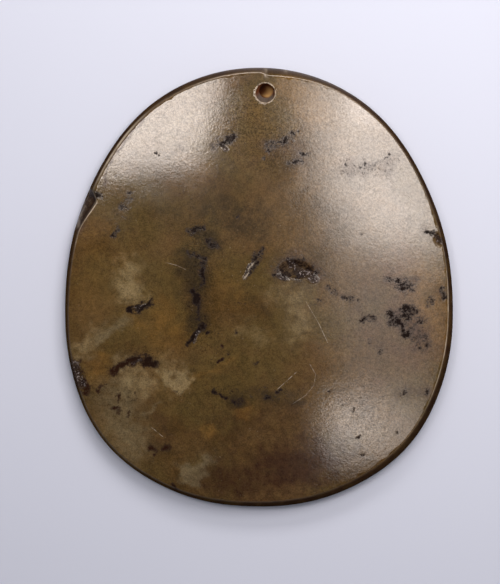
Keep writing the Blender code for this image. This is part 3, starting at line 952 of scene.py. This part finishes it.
def mark_stone(mesh):
    """Gives the mesh's points the fields that its surface and its material read."""
    points = np.zeros(len(mesh.vertices) * 3, np.float32)
    mesh.vertices.foreach_get("co", points)
    x, y, z = points.reshape(-1, 3).astype(float).T
    direction = np.arctan2(y - WAIST_Y, x)
    reach = np.hypot(x, y - WAIST_Y)
    to_edge = outline_reach(direction) - rim_run(direction) - flake_bite(direction) - reach
    upper = ease((z - MARKS_STOP) / MARKS_FADE)
    scar_stop = SCAR_STOP + SCAR_RAGGEDNESS * np.sin(SCAR_TEETH * direction)
    scarred = ease((z - scar_stop) / SCAR_FADE)
    for name, (lines, stray) in STROKES.items():
        add_field(mesh, name, stroke_field(x, y, lines, stray) * upper)
    across, share = scratch_fields(x, y)
    add_field(mesh, "scratch_side", across)
    add_field(mesh, "scratch", share * upper)

    # The old flake is matt and crusty, with a painted shadow line along its upper edge
    broken = ease(FLAKE_FULLNESS * flake_share(direction, "upper_left"))
    on_flake = broken * ease(-to_edge / FLAKE_SOFT_EDGE) * scarred
    flake_shadow_line = on_flake * np.exp(-(((to_edge + FLAKE_SHADOW_BELOW) / FLAKE_SHADOW_HALF_WIDTH) ** 2))
    flake_ink = FLAKE_INK * on_flake + FLAKE_SHADOW_INK * flake_shadow_line
    add_field(mesh, "ink", (stroke_field(x, y, INK, 1.0) + flake_ink) * upper)
    add_field(mesh, "bruises_and_glints", stroke_field(x, y, BRUISES_AND_GLINTS, 1.0) * scarred)
    flake_crust = FLAKE_CRUST * on_flake * (1 - flake_shadow_line)
    add_field(mesh, "crust", np.maximum(stroke_field(x, y, CRUST, 1.0), flake_crust) * upper)
    sunken = np.clip(pit_depth(x, y) / PIT_EDGE, 0, 1)
    add_field(mesh, "hollow", np.maximum(sunken, on_flake) * upper)

    # The rim darkens outwards, its own brown deepened by painted shade, least at the top where painted
    # light falls, and painted glints lie along its upper edge in places
    down_rim = -to_edge / (rim_run(direction) + flake_bite(direction))
    lit_top_band = glint_share(direction, LIT_TOP)
    edge = ease((down_rim + RIM_DARK_EARLY - TOP_DARK_LATE * lit_top_band) / RIM_DARK_RUN)
    edge = edge * (1 - TOP_PAINTED_LIGHT * lit_top_band) * (1 - FLAKE_PALENESS * on_flake)
    add_field(mesh, "edge", edge)
    add_field(mesh, "rim_shade", edge * (1 - glint_share(direction, PALE_LEFT)))
    glints = FAINT_GLINT + sum(glint_share(direction, glint) for glint in EDGE_GLINTS.values())
    add_field(mesh, "arris", np.exp(-((to_edge / ARRIS_REACH) ** 2)) * upper)
    add_field(mesh, "from_edge", np.clip(to_edge / MM, -5, 5))
    add_field(mesh, "glint", np.minimum(glints, 1) * upper)
    add_field(mesh, "facet_glint", glint_share(direction, FACET_GLINT) * upper)

    # The cord hole: a pale chipped lip, a painted grey reflection on the lower side of its mouth and a
    # painted amber glow in its bore
    radius, middle_x, middle_y = bore_at(z)
    aside, ahead = x - middle_x, y - middle_y
    within = (z > LIP_WEAR / 2) * (z < mouth_height() + LIP_WEAR / 4)
    inside = (np.hypot(aside, ahead) < radius + BORE_SKIN) * within
    turn = np.arctan2(ahead, aside)
    deep = ease((NECK_HEIGHT + NECK_FADE / 2 - z) / NECK_FADE)
    # Painted amber glow on the bore's wall, strongest on the side that light reaches
    lit = ease(1.6 * np.cos(turn - AMBER_TURN) - 0.5) * ease((z - AMBER_FROM) / AMBER_FADE)
    add_field(mesh, "bore", inside * 1.0)
    add_field(mesh, "painted_amber_glow", inside * deep * lit)
    # Painted grey reflection on the lower side of the mouth
    add_field(mesh, "mouth", inside * (1 - deep) * ease(0.1 + 1.2 * np.cos(turn - MOUTH_REFLECTION_TURN)))


def add_node(tree, kind, inputs=None, output=0, **settings):
    """Adds a node and gives one of its outputs. Inputs are values, or the sockets that feed them."""
    node = tree.nodes.new(kind)
    for name, value in settings.items():
        setattr(node, name, value)
    for name, value in (inputs or {}).items():
        if isinstance(value, bpy.types.NodeSocket):
            tree.links.new(value, node.inputs[name])
        else:
            node.inputs[name].default_value = value
    return node.outputs[output] if node.outputs else None


def surface_tree():
    """Works the stone's skin: hand-ground waves, sunken inclusions, crusted pits and a chipped edge."""
    tree = bpy.data.node_groups.new("stone skin", "GeometryNodeTree")
    tree.interface.new_socket("Geometry", in_out="INPUT", socket_type="NodeSocketGeometry")
    for name, size in SURFACE_SIZES.items():
        socket = tree.interface.new_socket(name, in_out="INPUT", socket_type="NodeSocketFloat")
        socket.default_value = size
    tree.interface.new_socket("Seed", in_out="INPUT", socket_type="NodeSocketFloat")
    tree.interface.new_socket("Stone", in_out="INPUT", socket_type="NodeSocketMaterial")
    tree.interface.new_socket("Geometry", in_out="OUTPUT", socket_type="NodeSocketGeometry")
    add = partial(add_node, tree)
    given = add("NodeGroupInput").node.outputs
    position = add("GeometryNodeInputPosition")
    normal = add("GeometryNodeInputNormal")
    marks = {}
    for name in ("ink", "crust", "arris"):
        marks[name] = add("GeometryNodeInputNamedAttribute", {"Name": name}, data_type="FLOAT")
    relief = {}
    for name, detail in (("Wave Length", 1.0), ("Crust Grain", 3.0), ("Chip Length", 2.0)):
        scale = add("ShaderNodeMath", {0: 1.0, 1: given[name]}, operation="DIVIDE")
        inputs = {"Vector": position, "W": given["Seed"], "Scale": scale, "Detail": detail}
        noise = add("ShaderNodeTexNoise", inputs, noise_dimensions="4D")
        relief[name] = add("ShaderNodeMath", {0: noise, 1: 0.5}, operation="SUBTRACT")

    # Waves and crust raise the skin
    grain = relief["Crust Grain"]
    crust = add("ShaderNodeMath", {0: grain, 1: given["Crust Height"]}, operation="MULTIPLY")
    crust = add("ShaderNodeMath", {0: crust, 1: marks["crust"]}, operation="MULTIPLY")
    inputs = {0: relief["Wave Length"], 1: given["Wave Height"], 2: crust}
    height = add("ShaderNodeMath", inputs, operation="MULTIPLY_ADD")

    # Inclusions sink below it, more where the grain is high
    rough = add("ShaderNodeMath", {0: grain, 1: INK_SINKS}, operation="ADD")
    rough = add("ShaderNodeMath", {0: rough, 1: marks["ink"]}, operation="MULTIPLY")
    rough = add("ShaderNodeMath", {0: rough, 1: 0.0}, operation="MAXIMUM")
    sunken = add("ShaderNodeMath", {0: rough, 1: given["Pit Depth"]}, operation="MULTIPLY")
    height = add("ShaderNodeMath", {0: height, 1: sunken}, operation="SUBTRACT")

    # Chips are off the rim's upper edge in places
    chips = add("ShaderNodeMath", {0: relief["Chip Length"], 1: CHIPS_APART}, operation="SUBTRACT")
    chips = add("ShaderNodeMath", {0: chips, 1: 0.0}, operation="MAXIMUM")
    chips = add("ShaderNodeMath", {0: chips, 1: marks["arris"]}, operation="MULTIPLY")
    chips = add("ShaderNodeMath", {0: chips, 1: given["Chip Depth"]}, operation="MULTIPLY")
    height = add("ShaderNodeMath", {0: height, 1: chips}, operation="SUBTRACT")

    offset = add("ShaderNodeVectorMath", {0: normal, "Scale": height}, operation="SCALE")
    moved = add("GeometryNodeSetPosition", {"Geometry": given["Geometry"], "Offset": offset})
    smooth = add("GeometryNodeSetShadeSmooth", {"Geometry": moved})
    real = add("GeometryNodeRealizeInstances", {"Geometry": smooth})
    dressed = add("GeometryNodeSetMaterial", {"Geometry": real, "Material": given["Stone"]})
    add("NodeGroupOutput", {"Geometry": dressed})
    return tree


def jade_material():
    """Nephrite jade, ground flat on stone and rubbed to a waxy polish by hand.

    The gloss is soft but shows light sources with plain edges. The stone is brown and olive, clouded
    with milky green, stained by iron along healed cracks and speckled with dark inclusions that the
    polish doesn't reach.
    """
    material = bpy.data.materials.new("nephrite jade, hand polished")
    material.use_nodes = True
    tree = material.node_tree
    add = partial(add_node, tree)
    place = add("ShaderNodeTexCoord", output="Object")
    stone = {name: add("ShaderNodeAttribute", output="Fac", attribute_name=name) for name in MARKS}
    for name, (wavelength, detail, roughness, distortion, offset) in PATTERNS.items():
        moved = add("ShaderNodeVectorMath", {0: place, 1: (offset, offset, offset)}, operation="ADD")
        inputs = {"Vector": moved, "Scale": 1 / (wavelength * MM), "Detail": detail}
        inputs |= {"Roughness": roughness, "Distortion": distortion}
        stone[name] = add("ShaderNodeTexNoise", inputs)
    for name, (source, low, high, start, end) in SHARES.items():
        inputs = {"Value": stone[source], "From Min": low, "From Max": high, "To Min": start, "To Max": end}
        stone[name] = add("ShaderNodeMapRange", inputs, interpolation_type="SMOOTHSTEP")

    # The stone's own clouds, and over them the stains and clouds of the photo with a wandering edge
    layers = [(stone["light_brown"], LIGHT_BROWN), (stone["olive"], OLIVE), (stone["reddish"], REDDISH)]
    wandering = add("ShaderNodeMath", {0: stone["coarse"], 1: 2.0}, operation="MULTIPLY")
    for name, (most, stain) in STAINS.items():
        reach = add("ShaderNodeMath", {0: stone[name], 1: wandering}, operation="MULTIPLY")
        inputs = {"Value": reach, "From Max": STAIN_FULL, "To Max": most}
        layers.append((add("ShaderNodeMapRange", inputs, interpolation_type="SMOOTHSTEP"), stain))
    colour = linear(BROWN)
    for share, layer in layers:
        colour = add("ShaderNodeMix", {0: share, 6: colour, 7: linear(layer)}, 2, data_type="RGBA")

    # The felt and the grit lighten and darken everything a little, most where the polish is grainy
    uneven = add("ShaderNodeMath", {0: stone["speckle_light"], 1: stone["grit_light"]}, operation="ADD")
    inputs = {0: uneven, 1: stone["grained_light"], 2: stone["felt_light"]}
    light = add("ShaderNodeMath", inputs, operation="MULTIPLY_ADD")
    colour = add("ShaderNodeVectorMath", {0: colour, "Scale": light}, operation="SCALE")
    flecks = add("ShaderNodeMath", {0: stone["flecks"], 1: stone["grained_flecks"]}, operation="MULTIPLY")

    # Dark inclusions torn into specks, with a film round them and stray specks all over
    torn = add("ShaderNodeMath", {0: stone["coarse_torn"], 1: stone["fine_torn"]}, operation="ADD")
    inked = []
    for tear, (low, high, most) in ((torn, INK_CORE), (stone["coarse_torn"], INK_FILM)):
        inputs = {0: tear, 1: stone["near_ink"], 2: stone["ink"]}
        reach = add("ShaderNodeMath", inputs, operation="MULTIPLY_ADD")
        inputs = {"Value": reach, "From Min": low, "From Max": high, "To Max": most}
        inked.append(add("ShaderNodeMapRange", inputs, interpolation_type="SMOOTHSTEP"))
    ink, stone["film"] = inked
    specks = add("ShaderNodeMath", {0: stone["speck_heart"], 1: stone["speck_reach"]}, operation="MULTIPLY")
    for dark in (specks, stone["stray_specks"]):
        ink = add("ShaderNodeMath", {0: ink, 1: dark}, operation="MAXIMUM")
    stone["inked"] = ink
    inputs = {0: stone["rusty"], 6: linear(INK_BLACK), 7: linear(INK_BROWN)}
    ink_colour = add("ShaderNodeMix", inputs, 2, data_type="RGBA")

    # Pale crystals in the crusted pits, partly painted glints, and the rim's painted shade is patchy
    inputs = {0: stone["crystal_heart"], 1: stone["crystal_reach"]}
    crystals_and_glints = add("ShaderNodeMath", inputs, operation="MULTIPLY")
    rim_dark = add("ShaderNodeMath", {0: stone["rim_shade"], 1: stone["rim_patchy"]}, operation="MULTIPLY")

    # Distances from the facet below the rim's upper edge and from the lip of the cord hole, in mm
    inputs = {0: stone["from_edge"], 1: FACET_BELOW_EDGE / MM}
    from_facet = add("ShaderNodeMath", inputs, operation="ADD")
    flat = add("ShaderNodeVectorMath", {0: place, 1: (-HOLE_X, -HOLE_Y, 0)}, operation="ADD")
    flat = add("ShaderNodeVectorMath", {0: flat, 1: (1, 1, 0)}, operation="MULTIPLY")
    radius = add("ShaderNodeVectorMath", {0: flat}, output="Value", operation="LENGTH")
    inputs = {0: radius, 1: 1 / MM, 2: -(MOUTH_RADIUS + LIP_LINE * LIP_WEAR) / MM}
    from_lip = add("ShaderNodeMath", inputs, operation="MULTIPLY_ADD")
    height = add("ShaderNodeSeparateXYZ", {0: place}, output="Z")
    above_bore = add("ShaderNodeMath", {0: height, 1: NECK_HEIGHT}, operation="GREATER_THAN")

    # Bruises, scratches and the lip of the hole are pale where they are worn, and painted glints lie along
    # the rim's upper edge, its facet and the old flake
    worn = add("ShaderNodeMath", {0: stone["bruises_and_glints"], 1: stone["bruises_and_glints_broken"]}, operation="MULTIPLY")
    thin_lines = (
        (stone["scratch_side"], SCRATCH_HALF_WIDTH, stone["scratch"], stone["scratch_broken"]),
        (stone["from_edge"], ARRIS_HALF_WIDTH, stone["glint"], stone["edge_broken"]),
        (from_facet, FACET_HALF_WIDTH, stone["facet_glint"], stone["edge_broken"]),
        (from_lip, LIP_HALF_WIDTH, above_bore, stone["lip_broken"]),
    )
    for distance, half_width, strength, broken in thin_lines:
        away = add("ShaderNodeMath", {0: distance}, operation="ABSOLUTE")
        inputs = {"Value": away, "From Min": 0.5 * half_width, "From Max": 1.5 * half_width}
        inputs |= {"To Min": 1.0, "To Max": 0.0}
        line = add("ShaderNodeMapRange", inputs, interpolation_type="SMOOTHSTEP")
        line = add("ShaderNodeMath", {0: line, 1: strength}, operation="MULTIPLY")
        line = add("ShaderNodeMath", {0: line, 1: broken}, operation="MULTIPLY")
        worn = add("ShaderNodeMath", {0: worn, 1: line}, operation="MAXIMUM")
    stone["worn"] = worn

    # Marks laid over the stone, among them painted light: glints, the rim's shade, and a glow and a
    # reflection in the cord hole
    layers = (
        (flecks, linear(PALE_FLECK)),
        (stone["film"], linear(FILM_BROWN)),
        (stone["inked"], ink_colour),
        (stone["crust_shade"], linear(CRUST_DARK)),
        (crystals_and_glints, linear(CRYSTAL_GREY_AND_GLINT)),
        (rim_dark, linear(RIM_BROWN_AND_SHADE)),
        (stone["bore"], linear(BORE_BROWN)),
        (stone["painted_amber_glow"], linear(PAINTED_AMBER_GLOW)),
        (stone["mouth"], linear(MOUTH_REFLECTION_GREY)),
        (stone["worn"], linear(PALE_WEAR_AND_GLINT)),
    )
    for share, layer in layers:
        colour = add("ShaderNodeMix", {0: share, 6: colour, 7: layer}, 2, data_type="RGBA")

    # The polish: its gloss breaks down on inclusions, crust, scratches, the lip and the rim
    rough, matt = 0.0, 0.0
    for name, (roughened, unglossed) in UNPOLISHED.items():
        rougher = add("ShaderNodeMath", {0: stone[name], 1: roughened}, operation="MULTIPLY")
        rough = add("ShaderNodeMath", {0: rough, 1: rougher}, operation="MAXIMUM")
        duller = add("ShaderNodeMath", {0: stone[name], 1: unglossed}, operation="MULTIPLY")
        matt = add("ShaderNodeMath", {0: matt, 1: duller}, operation="MAXIMUM")
    roughness = add("ShaderNodeMath", {0: stone["rubbed"], 1: rough}, operation="ADD")
    polish = add("ShaderNodeMath", {0: 1.0, 1: matt}, operation="SUBTRACT")
    pitting = add("ShaderNodeMath", {0: stone["grit_gloss"], 1: stone["speckle_gloss"]}, operation="ADD")
    inputs = {0: pitting, 1: stone["grained_gloss"], 2: GLOSS}
    pitting = add("ShaderNodeMath", inputs, operation="MULTIPLY_ADD")
    inputs = {0: stone["blotchy"], 1: stone["grained"], 2: pitting}
    pitting = add("ShaderNodeMath", inputs, operation="MULTIPLY_ADD")
    gloss = add("ShaderNodeMath", {0: polish, 1: pitting}, operation="MULTIPLY")
    gloss = add("ShaderNodeMath", {0: gloss, 1: 0.0}, operation="MAXIMUM")

    # Fine relief: grinding grain, soft orange peel and dimples, sunken inclusions and raised crystals
    raised = add("ShaderNodeMath", {0: stone["crystal"], 1: stone["crusty"]}, operation="MULTIPLY")
    relief = 0.0
    rises = [(stone[name], share) for name, share in POLISH_RELIEF.items()]
    for rise, share in rises + [(stone["inked"], INK_DEPTH), (raised, CRYSTAL_HEIGHT)]:
        relief = add("ShaderNodeMath", {0: rise, 1: share, 2: relief}, operation="MULTIPLY_ADD")
    bump = add("ShaderNodeBump", {"Strength": 1.0, "Distance": RELIEF_HEIGHT, "Height": relief})

    shader = tree.nodes["Principled BSDF"].inputs
    tree.links.new(colour, shader["Base Color"])
    tree.links.new(roughness, shader["Roughness"])
    tree.links.new(gloss, shader["Specular IOR Level"])
    tree.links.new(bump, shader["Normal"])
    shader["IOR"].default_value = NEPHRITE_IOR
    shader["Subsurface Weight"].default_value = GLOW_SHARE
    shader["Subsurface Radius"].default_value = GLOW_COLOURS
    shader["Subsurface Scale"].default_value = GLOW_DEPTH
    return material


def make_pendant():
    """The finished stone as a plain mesh object at the origin."""
    mesh = drilled_disc()
    mark_stone(mesh)
    rough = bpy.data.objects.new("rough_stone", mesh)
    bpy.context.scene.collection.objects.link(rough)
    tree = surface_tree()
    skin = rough.modifiers.new("stone skin", "NODES")
    skin.node_group = tree
    values = {**SURFACE_SIZES, "Seed": float(SEED), "Stone": jade_material()}
    for socket in tree.interface.items_tree:
        if socket.in_out == "INPUT" and socket.name in values:
            skin[socket.identifier] = values[socket.name]
    finished = evaluated_mesh(rough)
    bpy.data.objects.remove(rough)
    pendant = bpy.data.objects.new("polished_stone", finished)
    bpy.context.scene.collection.objects.link(pendant)
    return pendant


def make_floor():
    """A plain sheet of matt white paper, which shows soft shadows and mirrors nothing."""
    half = FLOOR_SIZE / 2
    corners = np.array([(-half, -half, 0), (half, -half, 0), (half, half, 0), (-half, half, 0)])
    floor = new_object("floor", corners, [(0, 1, 2, 3)])
    material = bpy.data.materials.new("matt white paper")
    material.use_nodes = True
    shader = material.node_tree.nodes["Principled BSDF"]
    shader.inputs["Base Color"].default_value = linear(FLOOR_COLOUR)
    shader.inputs["Roughness"].default_value = 0.9
    shader.inputs["Specular IOR Level"].default_value = 0.2
    floor.data.materials.append(material)


def add_softbox(name, middle, lift, size, radiance, edges):
    """A softbox that hangs level over the stone and shines straight down.

    Each edge is a direction, the distance from the stone's middle at which light along that direction
    starts, and how far it takes to reach its full strength, so that the stone mirrors a soft edge.
    """
    light = bpy.data.lights.new(name, "AREA")
    light.shape = "RECTANGLE"
    light.size, light.size_y = size[0] * MM, size[1] * MM
    light.energy = radiance * math.pi * light.size * light.size_y
    light.color = linear(WARM_LIGHT)[:3]
    light.use_nodes = True
    tree = light.node_tree
    place = add_node(tree, "ShaderNodeNewGeometry", output="Position")
    share = 1.0
    for turn, start, feather in edges:
        across = (math.cos(math.radians(turn)), math.sin(math.radians(turn)), 0)
        inputs = {0: place, 1: across}
        distance = add_node(tree, "ShaderNodeVectorMath", inputs, "Value", operation="DOT_PRODUCT")
        inputs = {"From Min": (start - feather / 2) * MM, "From Max": (start + feather / 2) * MM}
        inputs |= {"Value": distance}
        rise = add_node(tree, "ShaderNodeMapRange", inputs, interpolation_type="SMOOTHSTEP")
        share = add_node(tree, "ShaderNodeMath", {0: rise, 1: share}, operation="MULTIPLY")
    if edges:
        tree.links.new(share, tree.nodes["Emission"].inputs["Strength"])
    softbox = bpy.data.objects.new(name, light)
    softbox.location = (middle[0] * MM, middle[1] * MM, LIGHT_HEIGHT + lift * MM)
    bpy.context.scene.collection.objects.link(softbox)


def make_lights():
    """Softboxes where the stone mirrors them, and a room that is pale round the sides and dark overhead."""
    for name, softbox in SOFTBOXES.items():
        add_softbox(name, *softbox)
    world = bpy.data.worlds.new("room")
    bpy.context.scene.world = world
    world.use_nodes = True
    tree = world.node_tree
    view = add_node(tree, "ShaderNodeTexCoord", output="Generated")
    upwards = add_node(tree, "ShaderNodeSeparateXYZ", {0: view}, "Z")
    inputs = {"Value": upwards, "From Min": 0.3, "From Max": 0.8}
    inputs |= {"To Min": ROOM_SIDES, "To Max": ROOM_CEILING}
    strength = add_node(tree, "ShaderNodeMapRange", inputs, interpolation_type="SMOOTHSTEP")
    background = tree.nodes["Background"]
    background.inputs["Color"].default_value = linear(ROOM_LIGHT)
    tree.links.new(strength, background.inputs["Strength"])


def make_camera():
    """Looks down on the stone with its place and size in the photo's frame."""
    mm_per_pixel = HEIGHT / PHOTO_STONE_HEIGHT
    middle = Vector((0, 0, GIRDLE_HEIGHT))
    lean = Vector((math.cos(CAMERA_SIDE), math.sin(CAMERA_SIDE), 0)) * math.sin(CAMERA_LEAN)
    back = (lean + Vector((0, 0, math.cos(CAMERA_LEAN)))).normalized()
    right = Vector((0, 1, 0)).cross(back).normalized()
    up = back.cross(right)
    aside = (PHOTO_WIDTH / 2 - PHOTO_MIDDLE_X) * mm_per_pixel
    above = (PHOTO_MIDDLE_Y - PHOTO_HEIGHT / 2) * mm_per_pixel
    target = middle + right * aside + up * above
    data = bpy.data.cameras.new("camera")
    data.sensor_fit = "VERTICAL"
    data.sensor_height = SENSOR_HEIGHT
    data.sensor_width = SENSOR_HEIGHT
    data.lens = SENSOR_HEIGHT * CAMERA_DISTANCE / (PHOTO_HEIGHT * mm_per_pixel)
    data.clip_start = NEAREST_SEEN
    camera = bpy.data.objects.new("camera", data)
    turned = Matrix((right, up, back)).transposed().to_4x4()
    camera.matrix_world = Matrix.Translation(target + back * CAMERA_DISTANCE) @ turned
    bpy.context.scene.collection.objects.link(camera)
    bpy.context.scene.camera = camera


make_floor()
make_lights()
make_camera()
bpy.context.scene.view_settings.view_transform = "Standard"
pendant = make_pendant()
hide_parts(NODE)
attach(pendant, "root")
